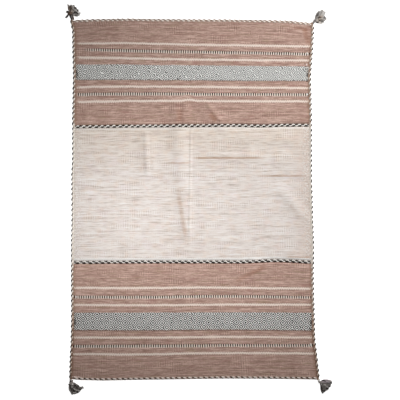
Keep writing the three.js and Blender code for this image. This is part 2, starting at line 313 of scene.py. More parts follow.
# Where the bands' lines run, from the bottom up: the y of each at these places across the cloth
lineStations = (-0.55, -0.35, -0.15, 0.05, 0.25, 0.50)
weftLines = {
    "stripe1": (-0.7729, -0.7739, -0.7724, -0.7679, -0.7669, -0.7684),
    "dashes1": (-0.7329, -0.7324, -0.7314, -0.7294, -0.7284, -0.7289),
    "stripe2": (-0.6894, -0.6894, -0.6894, -0.6869, -0.6859, -0.6879),
    "diamonds1Low": (-0.6514, -0.6524, -0.6524, -0.6494, -0.6494, -0.6524),
    "diamonds1High": (-0.5649, -0.5644, -0.5644, -0.5639, -0.5634, -0.5644),
    "stripe3": (-0.5274, -0.5279, -0.5274, -0.5254, -0.5244, -0.5254),
    "dashes2": (-0.4869, -0.4879, -0.4879, -0.4844, -0.4839, -0.4874),
    "stripe4": (-0.4414, -0.4424, -0.4419, -0.4394, -0.4419, -0.4449),
    "stripe5": (0.4863, 0.4913, 0.4918, 0.4923, 0.4903, 0.4903),
    "dashes3": (0.5253, 0.5278, 0.5273, 0.5258, 0.5243, 0.5238),
    "stripe6": (0.5608, 0.5638, 0.5633, 0.5623, 0.5588, 0.5568),
    "diamonds2Low": (0.5968, 0.5973, 0.5953, 0.5943, 0.5923, 0.5918),
    "diamonds2High": (0.6738, 0.6743, 0.6708, 0.6698, 0.6673, 0.6648),
    "stripe7": (0.7088, 0.7066, 0.7013, 0.6983, 0.6963, 0.6953),
    "dashes4": (0.7483, 0.7443, 0.7388, 0.7358, 0.7323, 0.7268),
    "stripe8": (0.7788, 0.7813, 0.7763, 0.7723, 0.7693, 0.7658),
}
nominalStation = 3  # a line is named by its y here
nominalEnds = {"bottom": -0.8885, "top": 0.8895}
twinedLines = {  # the y at the left side, the middle and the right side, then a bulge: x, rise, reach
    "twineLow": (-0.3150, -0.3120, -0.3150, 0.430, 0.008, 0.200),
    "twineHigh": (0.3635, 0.3690, 0.3715, 0.345, -0.0035, 0.130),
}
lineBump = {"x": -0.016, "y": 0.495, "rise": 0.006, "across": 0.045, "along": 0.050}  # over the long crease


def smooth(value, low, high):
    share = min(max((value - low) / (high - low), 0.0), 1.0)
    return share * share * (3 - 2 * share)


def lerp(a, b, share):
    return a + (b - a) * share


def spanAt(stations, at):  # the two stations round a place, and how far between them it lies
    high = next((i for i, station in enumerate(stations) if station >= at - 1e-9), len(stations) - 1)
    high = max(high, 1)
    return high - 1, high, (at - stations[high - 1]) / (stations[high] - stations[high - 1])


def readLine(stations, values, at):
    low, high, share = spanAt(stations, at)
    return lerp(values[low], values[high], share)


def outlineAt(edge, at):
    return readLine(sideStations if edge in ("left", "right") else endStations, outline[edge], at)


def clothX(share, y):
    inset = rugForm["cordWidth"] + rugForm["gap"]
    return lerp(outlineAt("left", y) + inset, outlineAt("right", y) - inset, share)


def nominalOf(key):
    if key in nominalEnds:
        return nominalEnds[key]
    return twinedLines[key][1] if key in twinedLines else weftLines[key][nominalStation]


def lineAt(key, x):
    if key in nominalEnds:  # the cloth's own ends
        inset = rugForm["cordWidth"] + rugForm["gap"]
        return outlineAt(key, x) - math.copysign(inset, nominalEnds[key])
    if key in weftLines:
        return readLine(lineStations, weftLines[key], x)
    left, middle, right, bulgeX, rise, reach = twinedLines[key]
    s = x / rugForm["halfCloth"]
    bow = (right - left) / 2 * s + ((right + left) / 2 - middle) * s * s
    away = min(abs(x - bulgeX) / reach, 1.0)
    return middle + bow + rise * (1 - away * away) ** 2


ladderKeys = sorted((*nominalEnds, *weftLines, *twinedLines), key=nominalOf)
ladderNominals = [nominalOf(key) for key in ladderKeys]


def weftY(nominal, x):  # where the weft of a nominal height runs at x
    low, high, share = spanAt(ladderNominals, nominal)
    y = lerp(lineAt(ladderKeys[low], x), lineAt(ladderKeys[high], x), share)
    away = ((x - lineBump["x"]) / lineBump["across"]) ** 2 + ((y - lineBump["y"]) / lineBump["along"]) ** 2
    return y + lineBump["rise"] * (1 - min(away, 1.0)) ** 2


def borderEase(x, y):
    fromSide = rugForm["halfCloth"] - abs(x)
    fromEnd = min(lineAt("top", x) - y, y - lineAt("bottom", x))
    return smooth(min(fromSide, fromEnd), 0.0, rugForm["flatBorder"])


def creaseLift(x, y):
    highest = 0.0
    for x0, y0, x1, y1, height, reach in creases:
        along = Vector((x1 - x0, y1 - y0))
        length = along.length
        along /= length
        offset = Vector((x - x0, y - y0))
        aside = abs(offset.x * along.y - offset.y * along.x)
        if aside >= reach:
            continue
        travelled = offset.dot(along)
        half = rugForm["creaseEnd"] / 2
        rise = smooth(travelled, -half, half) * (1 - smooth(travelled, length - half, length + half))
        highest = max(highest, height * math.cos(math.pi / 2 * aside / reach) ** 2 * rise)
    return highest * borderEase(x, y)


# The woven cloth

cloth = {
    "ribs": 205,
    "columns": 150,
    "rowHeight": 0.008,  # of a mesh row
    "channelHalf": 0.0084,
    "channelWall": 0.0012,
    "channelDepth": 0.0038,
    "pucker": 0.0011,
    "puckerAcross": 0.090,
    "puckerAlong": 0.060,
    "sharpRim": 80,  # degrees
    "wovenWidth": 1.18,  # the width that the weave's own coordinates give it
    "pickHeight": 0.0034,
}
folds = [  # low sharp folds in the cloth: from x, y to x, y on the floor, reach, height
    (-0.037, 0.3575, -0.0445, -0.2025, 0.010, 0.0019),
    (-0.062, 0.4825, -0.062, 0.3775, 0.034, 0.0050),
    (0.038, 0.4825, 0.118, 0.3875, 0.018, 0.0028),
    (0.040, 0.2200, 0.3175, 0.2200, 0.020, 0.0030),
    (0.340, 0.0975, 0.530, 0.0975, 0.026, -0.0024),
    (0.4075, 0.0475, 0.5575, -0.1025, 0.030, 0.0008),
    (-0.262, 0.3325, -0.255, 0.1225, 0.020, 0.0020),
]
foldShadeMarks = [  # painted shade on the folds' shaded sides: the same, with how strong it is
    (-0.1025, 0.0425, -0.0625, -0.1975, 0.018, 0.55),
    (-0.092, 0.4575, -0.092, 0.3875, 0.030, 0.55),
    (0.055, 0.430, 0.090, 0.395, 0.024, 0.75),
    (-0.0325, 0.2075, 0.3175, 0.2075, 0.006, 1.30),
    (-0.150, 0.1825, -0.045, 0.1825, 0.006, 0.80),
    (0.2975, 0.1175, 0.5325, 0.1175, 0.006, 1.00),
    (0.4575, -0.0275, 0.4825, -0.0625, 0.016, 0.25),
    (0.4425, -0.2875, 0.5625, -0.2875, 0.006, 1.00),
    (0.3325, -0.3325, 0.1875, -0.4075, 0.020, 0.60),
    (0.4725, 0.8575, 0.5525, 0.8475, 0.016, 0.40),
    (0.5275, 0.8525, 0.5500, 0.7775, 0.020, 0.70),
]
strays = {  # short ends of black or pale yarn beside the selvages: from x, y to x, y, reach, strength
    "ink": [
        (-0.6095, 0.6475, -0.6085, 0.6300, 0.006, 0.75),
        (-0.6065, 0.6350, -0.6055, 0.6135, 0.007, 0.85),
        (-0.6165, -0.5975, -0.6175, -0.6275, 0.007, 0.9),
        (0.5635, -0.6025, 0.5615, -0.6250, 0.008, 0.95),
        (0.5555, -0.6435, 0.5605, -0.6505, 0.006, 0.8),
        (0.5445, 0.6325, 0.5425, 0.6125, 0.007, 0.85),
        (0.5435, 0.5975, 0.5415, 0.5865, 0.006, 0.8),
        (0.5325, 0.6650, 0.5405, 0.6595, 0.0065, 0.9),
        (0.5330, 0.6515, 0.5400, 0.6525, 0.006, 0.9),
        (0.5295, 0.6785, 0.5330, 0.6765, 0.006, 0.9),
        (0.5445, 0.6440, 0.5465, 0.6390, 0.006, 0.9),
    ],
    "fresh": [
        (0.5385, 0.6745, 0.5430, 0.6735, 0.0065, 0.9),
        (0.5345, 0.6585, 0.5395, 0.6570, 0.006, 0.9),
        (0.5395, 0.5235, 0.5465, 0.5275, 0.0075, 0.95),
        (0.5395, 0.7295, 0.5455, 0.7335, 0.006, 0.8),
        (0.5595, -0.7175, 0.5625, -0.7325, 0.006, 0.8),
        (-0.6135, -0.4835, -0.6075, -0.4885, 0.006, 0.8),
    ],
    "stripe": [
        (-0.6085, 0.5605, -0.5995, 0.5565, 0.006, 0.7),
        (-0.5995, 0.4865, -0.5915, 0.4855, 0.006, 0.7),
    ],
}
clothDyes = {
    "mauve": dye(176, 134, 124),
    "olive": dye(168, 146, 116),
    "beige": dye(184, 167, 155),
    "rose": dye(226, 204, 190),
    "stripe": dye(250, 233, 220),
    "ink": dye(34, 12, 5),
    "chalk": dye(255, 241, 229),
    "fresh": dye(255, 252, 248),
    "umber": dye(120, 92, 80),
    # painted shade under the twined rows, where the channel shows between the strands
    "rowShade": dye(66, 52, 44),
    # painted shade on the folds' shaded sides
    "foldShadeDye": dye(214, 183, 158),
    # painted shade along the selvages, where the cloth meets the side cords
    "edgeShade": dye(218, 205, 192),
    "warmth": dye(255, 251, 245),
    "tan": dye(255, 243, 232),
    "lavender": dye(252, 246, 252),
    "tooth": dye(96, 88, 82),
}
weaveStyle = {
    "wander": (0.060, 0.050, 4.0),  # how the weft's lines stray: streaks' length, height and seed
    "wanderBy": 0.0030,
    "pinstripes": (0.110, 0.050, 8.0),
    "pinstripe": (0.45, 0.95, 0.0, 0.20),  # from and to which tone, how strong they are
    "warm": (0.10, 0.36),  # along the rug, where the cream turns warm
    "rosy": (1.08, 1.17),  # and across it, where it turns rosy
    "rosyFloats": (0.2, 0.9),  # of which tone
    "pebbly": (0.010, 0.055),  # how far in from the selvages the cream is so
    "fieldEdge": 0.0015,
    "dashWear": (0.045, 0.030, 9.0),
    "wear": (0.1, 0.6, 0.78, 1.0),  # of stripes and dashes: from and to which tone, how strong they are
    "edgeShade": (0.0085, 0.0065),  # painted shade along the selvages: its half width and its edge
    "edgeShadeShares": (0.50, 0.10),  # how strong the painted shade is beside the bands and beside the cream field
    "shadeBetweenPicks": 0.45,  # how much of the painted fold shade is left between picks
    "ribShade": (0.0, 0.45, 0.88, 1.0),  # painted shade between the ribs: from between the ribs to on them, and how light it is there
    "floatBump": 0.6,
    "bumpDepth": 0.0007,
    "bump": 0.7,
}
# The two grounds of the cloth: how much each yarn tone counts, from the short floats to the long streaks,
# and where on the sum of them the dyes lie
grounds = {
    "brown": {
        "tones": (0.10, 0.20, 0.40, 0.30),
        "places": (0.2, 0.5, 0.8),
        "dyes": (dye(142, 110, 97), dye(194, 160, 146), dye(234, 202, 188)),
    },
    "cream": {
        "tones": (0.02, 0.14, 0.47, 0.37),
        "places": (0.08, 0.5, 0.90),
        "dyes": (clothDyes["beige"], dye(238, 228, 221), dye(255, 253, 251)),
    },
}
yarnTones = (  # streaks' length, height and seed
    (0.018, 0.0040, 3.0),
    (0.055, 0.0042, 1.0),
    (0.220, 0.0085, 2.0),
)
tints = {  # streaks' length, height and seed, from which value up to which they tint, how strongly, the dye
    "brown": (
        (0.070, 0.0090, 6.0, 0.55, 0.95, 0.75, "mauve"),
        (0.090, 0.0110, 7.0, 0.60, 0.95, 0.45, "olive"),
    ),
    "cream": (
        (0.018, 0.0040, 3.0, 0.70, 1.00, 0.40, "rose"),
        (0.130, 0.0036, 33.0, 0.66, 1.00, 0.50, "beige"),
    ),
    "glaze": (
        (0.045, 0.036, 30.0, 0.45, 0.85, 0.32, "tan"),
        (0.055, 0.042, 31.0, 0.45, 0.85, 0.32, "lavender"),
    ),
    "pebbles": (
        (0.0085, 0.0060, 40.0, 0.50, 0.85, 0.8, "fresh"),
        (0.0085, 0.0060, 41.0, 0.50, 0.85, 0.5, "beige"),
    ),
}
stripeStyle = {
    "half": 0.0050,
    "edge": 0.0016,
    "tooth": 0.0022,  # how far its edge steps from rib to rib
    "start": (0.008, 0.024, 0.25, 1.0),  # where the upper ones fade in from the left, and from how strong
}
dashStyle = {
    "half": 0.0068,
    "edge": 0.0008,
    "starts": {"dashes3": (0.004, 0.016, 0.12, 1.0), "dashes4": (0.030, 0.095, 0.12, 1.0)},  # as stripes do
}
diamondStyle = {
    "rowHeight": 0.0053,
    "reach": 4.0,
    "edge": 0.0012,
    "wander": (0.024, 0.020),  # streaks' length and height
    "wanderBy": 0.0045,
    "worn": (0.060, 0.035),
    "wornTones": (0.2, 0.7),
    "fades": (0.1, 0.9),  # across the cloth, where the contrast changes towards the right end
    "teeth": (0.0020, 0.0030, 0.0010, 0.8),  # on the upper band's lower edge, as in trims
}
diamondBands = (  # the dyes, how wild the lines are, least and most contrast, its share at the right end
    (dye(22, 21, 22), dye(250, 248, 244), 0.7, 1.0, 1.6, 1.0),
    (dye(104, 104, 102), dye(255, 254, 250), 1.6, 0.90, 1.50, 0.55),
)
trims = [  # thin lines beside others: the line, how far above it, half width, edge, strength, the dye
    ("twineLow", 0.0150, 0.0045, 0.0030, 0.85, "fresh"),
    ("twineHigh", -0.0140, 0.0045, 0.0030, 0.45, "fresh"),
]
edgings = [  # the same, drawn over the diamonds, and painted shade under the twined rows
    ("diamonds1Low", -0.0030, 0.0020, 0.0015, 1.0, "umber"),
    ("twineLow", 0.0, 0.0062, 0.0014, 0.85, "rowShade"),
    ("twineHigh", 0.0, 0.0062, 0.0014, 0.85, "rowShade"),
]


def clothCourses():  # the mesh rows: nominal y, share of the channel's depth, the line that lifts the row
    half = cloth["channelHalf"]
    rim = half + cloth["channelWall"]
    marks = [(nominalEnds["bottom"], 0, None)]
    for key in twinedLines:
        for aside, depth in ((-rim, 0), (-half, 1), (0, 1), (half, 1), (rim, 0)):
            marks.append((nominalOf(key) + aside, depth, key))
    marks.append((nominalEnds["top"], 0, None))
    rows = [marks[0]]
    for before, after in zip(marks, marks[1:]):
        cells = max(1, round((after[0] - before[0]) / cloth["rowHeight"]))
        for cell in range(1, cells):
            share = cell / cells
            rows.append((lerp(before[0], after[0], share), lerp(before[1], after[1], share), None))
        rows.append(after)
    return rows


def buildCloth():
    courses = clothCourses()
    cells = len(courses) - 1
    bm = bmesh.new()
    bmesh.ops.create_grid(bm, x_segments=cloth["columns"], y_segments=cells, size=0.5)
    bmesh.ops.solidify(bm, geom=bm.faces[:], thickness=1.0)
    weave = bm.loops.layers.uv.new("weave")
    for face in bm.faces:
        for loop in face.loops:
            spot = loop.vert.co
            nominal = courses[round((spot.y + 0.5) * cells)][0]
            loop[weave].uv = ((spot.x + 0.5) * cloth["wovenWidth"], nominal)
    top = max(vert.co.z for vert in bm.verts)
    for vert in bm.verts:
        nominal, depth, key = courses[round((vert.co.y + 0.5) * cells)]
        share = vert.co.x + 0.5
        upper = vert.co.z > top - 0.5
        guess = lerp(-rugForm["halfCloth"], rugForm["halfCloth"], share)
        x = clothX(share, weftY(nominal, guess))
        y = weftY(nominal, x)
        z = creaseLift(x, lineAt(key, x) if key else y)
        if upper:
            wave = noise.noise(Vector((x / cloth["puckerAcross"], y / cloth["puckerAlong"], 0.7)))
            z += rugForm["thickness"] - cloth["channelDepth"] * depth
            z += cloth["pucker"] * wave * borderEase(x, y) * (1 - depth)
        vert.co = (x + rugForm["shift"], y, z)
    bmesh.ops.recalc_face_normals(bm, faces=bm.faces[:])
    piece = addMeshObject("wovenCloth", bm)
    piece.data.shade_smooth()
    piece.data.set_sharp_from_angle(angle=math.radians(cloth["sharpRim"]))
    return piece


def clothMaterial():
    material, tree, shader = startMaterial("stripedWeft", 0.92, 0.15)
    vector = layerSpot(tree, "weave")
    u, v = split(vector)
    ribWidth = cloth["wovenWidth"] / cloth["ribs"]
    ribHeight, ridge, parity = useGroup(ribGroup, vector, ribWidth, cloth["pickHeight"])

    def streaks(length, height, seed):
        return useGroup(streakGroup, vector, length, height, seed)

    # the lines of the weave wander a little and step from rib to rib
    wander = multiply(subtract(streaks(*weaveStyle["wander"]), 0.5), weaveStyle["wanderBy"])
    ribSide = subtract(parity, 0.5)
    placed = add(v, add(wander, multiply(ribSide, stripeStyle["tooth"])))

    def stripe(centre, half, edge):
        return useGroup(stripeGroup, placed, centre, half, edge)

    def between(low, high, edge):
        return stripe((low + high) / 2, (high - low) / 2, edge)

    def blend(weighted):
        total = 0.0
        for weight, value in weighted:
            total = calc("MULTIPLY_ADD", value, weight, total)
        return total

    def tinted(colour, layers, mode="MIX", share=None):
        for length, height, seed, start, full, strength, tone in layers:
            mask = remap(streaks(length, height, seed), start, full, 0.0, strength)
            if share:
                mask = multiply(mask, share)
            colour = mixed(mask, colour, clothDyes[tone], mode)
        return colour

    def lined(colour, lines):
        for key, above, half, edge, strength, tone in lines:
            mask = multiply(stripe(nominalOf(key) + above, half, edge), strength)
            colour = mixed(mask, colour, clothDyes[tone])
        return colour

    # each float of weft over a rib has a tone of its own, and each pick runs on as a long streak
    floats = tree.nodes.new("ShaderNodeTexWhiteNoise")
    floats.noise_dimensions = "2D"
    column = calc("FLOOR", divide(u, ribWidth))
    pick = calc("FLOOR", divide(placed, cloth["pickHeight"]))
    tones = [fill(floats, joined(column, pick))] + [streaks(*tone) for tone in yarnTones]
    floatTone, shortStreak, pickStreak = tones[:3]
    pinstripes = remap(streaks(*weaveStyle["pinstripes"]), *weaveStyle["pinstripe"])
    pinstripes = multiply(ribSide, pinstripes)
    brown, cream = (
        ramp(add(pinstripes, blend(zip(ground["tones"], tones))), ground["places"], ground["dyes"])
        for ground in grounds.values()
    )
    brown = tinted(brown, tints["brown"])
    cream = tinted(cream, tints["cream"])
    cream = mixed(remap(v, *weaveStyle["warm"]), cream, clothDyes["warmth"], "MULTIPLY")
    cream = tinted(cream, tints["glaze"], "MULTIPLY")
    rosy = multiply(remap(u, *weaveStyle["rosy"]), remap(shortStreak, *weaveStyle["rosyFloats"]))
    cream = mixed(rosy, cream, clothDyes["rose"])
    inward = calc("MINIMUM", u, subtract(cloth["wovenWidth"], u))
    nearSelvage = remap(inward, *weaveStyle["pebbly"], 1.0, 0.0)
    cream = tinted(cream, tints["pebbles"], share=nearSelvage)
    field = between(nominalOf("twineLow"), nominalOf("twineHigh"), weaveStyle["fieldEdge"])
    colour = lined(mixed(field, brown, cream), trims)

    stripeWear = remap(blend(((0.5, floatTone), (0.5, shortStreak))), *weaveStyle["wear"])
    dashWear = remap(streaks(*weaveStyle["dashWear"]), *weaveStyle["wear"])
    dashes = mixed(parity, clothDyes["ink"], clothDyes["chalk"])
    for key in weftLines:
        if key.startswith("stripe"):
            mask = multiply(stripe(nominalOf(key), stripeStyle["half"], stripeStyle["edge"]), stripeWear)
            if nominalOf(key) > 0:
                mask = multiply(mask, remap(u, *stripeStyle["start"]))
            colour = mixed(mask, colour, clothDyes["stripe"])
        if key.startswith("dashes"):
            mask = multiply(stripe(nominalOf(key), dashStyle["half"], dashStyle["edge"]), dashWear)
            if key in dashStyle["starts"]:
                mask = multiply(mask, remap(u, *dashStyle["starts"][key]))
            colour = mixed(mask, colour, dashes)
    for number, (shade, silver, wild, least, most, rightShare) in enumerate(diamondBands, 1):
        wander = subtract(streaks(*diamondStyle["wander"], 20.0 + number), 0.5)
        wander = multiply(wander, diamondStyle["wanderBy"] * wild)
        figure = useGroup(diamondGroup, joined(add(u, wander), add(v, wander)), ribWidth,
                          diamondStyle["rowHeight"], diamondStyle["reach"])
        crisp = remap(streaks(*diamondStyle["worn"], 12.0 + number), *diamondStyle["wornTones"], least, most)
        crisp = multiply(crisp, remap(u, *diamondStyle["fades"], 1.0, rightShare))
        figured = mixed(calc("MULTIPLY_ADD", subtract(figure, 0.5), crisp, 0.5), shade, silver)
        low, high = nominalOf(f"diamonds{number}Low"), nominalOf(f"diamonds{number}High")
        colour = mixed(between(low, high, diamondStyle["edge"]), colour, figured)
    above, half, edge, strength = diamondStyle["teeth"]
    teeth = multiply(stripe(nominalOf("diamonds2Low") + above, half, edge), parity)
    colour = mixed(multiply(teeth, strength), colour, clothDyes["tooth"])
    # the edgings hold painted shade under the twined rows
    colour = lined(colour, edgings)
    # painted shade along both selvages, where the cloth meets the side cords
    inBands, inField = weaveStyle["edgeShadeShares"]
    for side in (0.0, cloth["wovenWidth"]):
        rim = useGroup(stripeGroup, u, side, *weaveStyle["edgeShade"])
        rim = multiply(rim, calc("MULTIPLY_ADD", field, inField - inBands, inBands))
        colour = mixed(rim, colour, clothDyes["edgeShade"], "MULTIPLY")

    where = objectSpot(tree)

    def foldMark(x0, y0, x1, y1, reach):
        length = math.hypot(x1 - x0, y1 - y0)
        return useGroup(foldGroup, where, x0, y0, (x1 - x0) / length, (y1 - y0) / length, length, reach)

    for tone, marks in strays.items():
        for *mark, strength in marks:
            colour = mixed(multiply(foldMark(*mark), strength), colour, clothDyes[tone])
    rises, foldShading = (
        blend((strength, foldMark(*mark)) for *mark, strength in marks)
        for marks in (folds, foldShadeMarks)
    )
    # painted shade along the folds, multiplied into the colour and thinned out between picks
    foldShading = multiply(foldShading, remap(pickStreak, 0.0, 1.0, 1.0, weaveStyle["shadeBetweenPicks"]))
    colour = mixed(foldShading, colour, mixed(1.0, colour, clothDyes["foldShadeDye"], "MULTIPLY"))
    # painted shade in the furrows between the ribs
    colour = mixed(1.0, colour, remap(ridge, *weaveStyle["ribShade"]), "MULTIPLY")
    feed(shader.inputs["Base Color"], colour)
    folded = addBump(shader, rises, 1.0, 1.0)
    relief = add(ribHeight, multiply(shortStreak, weaveStyle["floatBump"]))
    addBump(shader, relief, weaveStyle["bumpDepth"], weaveStyle["bump"], folded)
    return material


wovenCloth = buildCloth()
wovenCloth.data.materials.append(clothMaterial())
finishPiece(wovenCloth, "rug_cloth")
print("cloth woven:", len(wovenCloth.data.polygons), "faces")


# Yarns

spun = {
    "plies": 2.0,
    "hairScale": 900.0,
    "patchScale": 70.0,
    "hairTones": (0.25, 0.75, 0.75, 1.0),  # from and to which noise, and how light they are there
    "patchTones": (0.30, 0.70, 0.75, 1.0),
    "hairHeight": 0.3,
    "fray": (0.35, 0.8),  # where on a strand it starts, and how strong it gets
    "bumpDepth": 0.0004,
    "bump": 0.8,
    "cordTurns": 160.0,
    "tasselTurns": 18.0,
}


def yarnMaterial(name, colour, plyShade, turns, frayed=None, dimmed=()):
    # frayed is the colour towards a strand's tip. dimmed lists a y, the y where it is full, and the colour
    material, tree, shader = startMaterial(name, 0.95, 0.2)
    vector = layerSpot(tree, "UVMap")
    where = objectSpot(tree)
    twisted = useGroup(plyGroup, vector, turns, spun["plies"])
    hairs = noiseAt(where, spun["hairScale"])
    patches = noiseAt(where, spun["patchScale"])
    tone = multiply(twisted, remap(hairs, *spun["hairTones"]))
    tone = multiply(tone, remap(patches, *spun["patchTones"]))
    # plyShade is painted shade in the furrows between the plies, and also the darker end of the yarn's
    # random tone
    result = mixed(tone, dye(*plyShade), dye(*colour))
    for fromY, toY, dimColour in dimmed:
        result = mixed(remap(split(where)[1], fromY, toY), result, dye(*dimColour), "MULTIPLY")
    if frayed:
        start, strength = spun["fray"]
        result = mixed(remap(split(vector)[0], start, 1.0, 0.0, strength), result, dye(*frayed))
    feed(shader.inputs["Base Color"], result)
    addBump(shader, add(twisted, multiply(hairs, spun["hairHeight"])), spun["bumpDepth"], spun["bump"])
    return material


def strandPiece(name, strands, materials, roundness):
    # a joined mesh of tubes, each a list of points and radii and the number of its material
    curve = bpy.data.curves.new(name, "CURVE")
    for material in materials:
        curve.materials.append(material)
    curve.dimensions = "3D"
    curve.bevel_depth = 1.0
    curve.bevel_resolution = roundness
    curve.use_fill_caps = True
    for points, radii, number in strands:
        spline = curve.splines.new("POLY")
        spline.points.add(len(points) - 1)
        for spot, point, radius in zip(spline.points, points, radii):
            spot.co = (point[0] + rugForm["shift"], *point[1:], 1.0)
            spot.radius = radius
        spline.material_index = number
    holder = addObject(name + "Curve", curve)
    graph = bpy.context.evaluated_depsgraph_get()
    mesh = bpy.data.meshes.new_from_object(holder.evaluated_get(graph))
    bpy.data.objects.remove(holder)
    mesh.name = name
    mesh.shade_smooth()
    return addObject(name, mesh)


# Twisted pairs: the corded edges and the twined rows

twist = {
    "stepsPerTurn": 16,
    "roundness": 2,
    "fillerStep": 4,  # of these steps
    "wobble": 0.9,
    "wobbles": 0.30,  # in a turn
    "lumps": 1.7,  # in a turn
    "taper": 0.5,  # turns over which the ends draw in
    "tip": 0.6,
}
yarns = {  # colour, painted shade in the ply furrows that is also the darker random tone, and where along Y it dims and to which colour
    "inkYarn": ((46, 34, 29), (14, 10, 8)),
    "paleYarn": ((255, 252, 246), (238, 230, 219)),
    "milkYarn": ((255, 249, 241), (228, 219, 208), (-0.50, -0.64, (240, 230, 222)),
                 (0.84, 0.89, (232, 221, 211))),
    "dullYarn": ((255, 249, 241), (228, 219, 208), (-0.42, -0.62, (240, 229, 220)),
                 (-0.85, -0.885, (158, 146, 142)), (0.82, 0.89, (200, 187, 176))),
    "fillYarn": ((240, 231, 220), (208, 197, 185), (0.34, 0.40, (188, 166, 154)),
                 (-0.29, -0.35, (190, 168, 156)), (-0.50, -0.72, (220, 206, 198))),
    "beadYarn": ((255, 246, 236), (226, 210, 196)),
    "greyBeadYarn": ((246, 236, 228), (214, 202, 193)),
    "umberYarn": ((188, 166, 152), (136, 118, 106)),
    "coreYarn": ((214, 184, 168), (172, 146, 132)),
}
yarnMaterials = {
    name: yarnMaterial(name, colour, plyShade, spun["cordTurns"], dimmed=dimmed)
    for name, (colour, plyShade, *dimmed) in yarns.items()
}
# A strand's form: its radius underneath and on top, how far aside it lies, and how much further where it is
# on top. Where a pair isn't sized by height, the radii are to the left and right, or down and up the rug
cords = {
    "climb": 0.0042,  # of a strand over the cord's middle
    "linger": 0.0,  # how long a strand stays at the side
    "pinch": 0.0,  # how much a strand narrows where it passes over the other
    "unevenness": 0.24,
    "phase": 0.0,
    "flatness": 0.56,
    "fillers": ((0.0022, 0.0058, 0.0058), (0.0058, 0.0024, 0.0084)),  # how far inwards, radius, height
    "shadowFillers": (),
}
edgeCords = {
    "side_cord_left": {
        "outward": -1, "turns": 71, "lean": 1, "swing": 0.0022, "sizedByHeight": False,
        "strands": ((0.0029, 0.0017, -0.0030, 0.0), (0.0024, 0.0041, -0.0002, -0.0008)),
        "yarns": ("inkYarn", "dullYarn", "fillYarn"),
    },
    "side_cord_right": {
        "outward": 1, "turns": 70, "lean": 1, "swing": 0.0022, "sizedByHeight": False,
        "strands": ((0.0017, 0.0031, 0.0033, 0.0), (0.0041, 0.0024, 0.0002, 0.0008)),
        "yarns": ("inkYarn", "milkYarn", "fillYarn"),
    },
    "end_cord_top": {
        "outward": 1, "turns": 47, "lean": -1, "swing": 0.0012, "sizedByHeight": True,
        "strands": ((0.0030, 0.0032, 0.0024, -0.0014), (0.0028, 0.0038, -0.0014, -0.0008)),
        "yarns": ("umberYarn", "beadYarn", "coreYarn"),
    },
    "end_cord_bottom": {
        "outward": -1, "turns": 45, "lean": -1, "swing": 0.0016, "sizedByHeight": True,
        "strands": ((0.0022, 0.0025, -0.0002, 0.0038), (0.0028, 0.0037, 0.0011, 0.0005)),
        # an outer filler strand, brownish in the notches between the beads: painted shade along the cord's
        # foot
        "shadowFillers": ((-0.0043, 0.0019, 0.0026),),
        "yarns": ("inkYarn", "greyBeadYarn", "coreYarn"),
    },
}
twine = {
    "swing": 0.0038,  # of a strand round the row's middle
    "climb": 0.0038,
    "linger": 0.5,
    "pinch": 0.34,
    "unevenness": 0.20,
    "sizedByHeight": False,
    "flatness": 0.45,
    "outward": 1,
    "fillers": (),
    "shadowFillers": (),
    "yarns": ("inkYarn", "paleYarn"),
}
twinedRows = {  # phase is in half turns
    "twined_row_upper": {
        "line": "twineHigh", "turns": 39, "lean": 1, "phase": -0.04,
        "strands": ((0.0038, 0.0021, 0.0, 0.0), (0.0037, 0.0037, 0.0, 0.0)),
    },
    "twined_row_lower": {
        "line": "twineLow", "turns": 38.5, "lean": -1, "phase": -0.27,
        "strands": ((0.0039, 0.0027, -0.0008, 0.0), (0.0029, 0.0036, 0.0009, 0.0)),
    },
}


def twistedPair(name, line, form):
    # two strands round each other along a line that gives x, y and the way across at each share
    turns = form["turns"]
    steps = round(turns * twist["stepsPerTurn"])
    strands = []
    for number, (low, high, aside, lift) in enumerate(form["strands"]):
        points, radii = [], []
        for i in range(steps + 1):
            share = i / steps
            x, y, acrossX, acrossY = line(share)
            angle = math.pi * form["phase"] + math.pi * number - form["lean"] * 2 * math.pi * turns * share
            angle += twist["wobble"] * noise.noise(Vector((share * turns * twist["wobbles"], turns, 0.4)))
            lay, over = math.cos(angle), math.sin(angle)
            size = over if form["sizedByHeight"] else lay
            radius = lerp(low, high, 0.5 + 0.5 * size) * (1 - form["pinch"] * over * over)
            lumps = noise.noise(Vector((share * turns * twist["lumps"], turns, number + 2.5)))
            radius *= 1 + form["unevenness"] * lumps
            reach = aside + form["swing"] * lay * (1 + form["linger"] * (1 - lay * lay)) + lift * over
            height = form["climb"] * (1 + over) + max(low, high)
            points.append((x + acrossX * reach, y + acrossY * reach, height))
            ends = min(1.0, min(share, 1 - share) * turns / twist["taper"])
            radii.append(radius * (twist["tip"] + (1 - twist["tip"]) * ends))
        strands.append((points, radii, number))
    spots = [line(i / steps) for i in range(0, steps + 1, twist["fillerStep"])]
    for inward, radius, height in (*form["fillers"], *form["shadowFillers"]):
        aside = -form["outward"] * inward
        points = [(x + acrossX * aside, y + acrossY * aside, height) for x, y, acrossX, acrossY in spots]
        strands.append((points, [radius] * len(points), 2))
    materials = [yarnMaterials[yarn] for yarn in form["yarns"]]
    return strandPiece(name, strands, materials, twist["roundness"])


def settle(piece, flatness, base):
    for vert in piece.data.vertices:
        vert.co.z = max(vert.co.z * flatness, 0.0) + base(vert.co.x - rugForm["shift"], vert.co.y)


def edgeLine(share, edge, outward):  # the middle of an edge cord
    inset = outward * rugForm["cordWidth"] / 2
    if edge in ("left", "right"):
        corner = outward * (rugForm["halfCloth"] + rugForm["cordWidth"])
        y = lerp(outlineAt("bottom", corner), outlineAt("top", corner), share)
        return outlineAt(edge, y) - inset, y, 1.0, 0.0
    half = rugForm["halfCloth"] - rugForm["cordStop"]
    y = outlineAt(edge, lerp(-half, half, share)) - inset
    return clothX(share, y), y, 0.0, 1.0


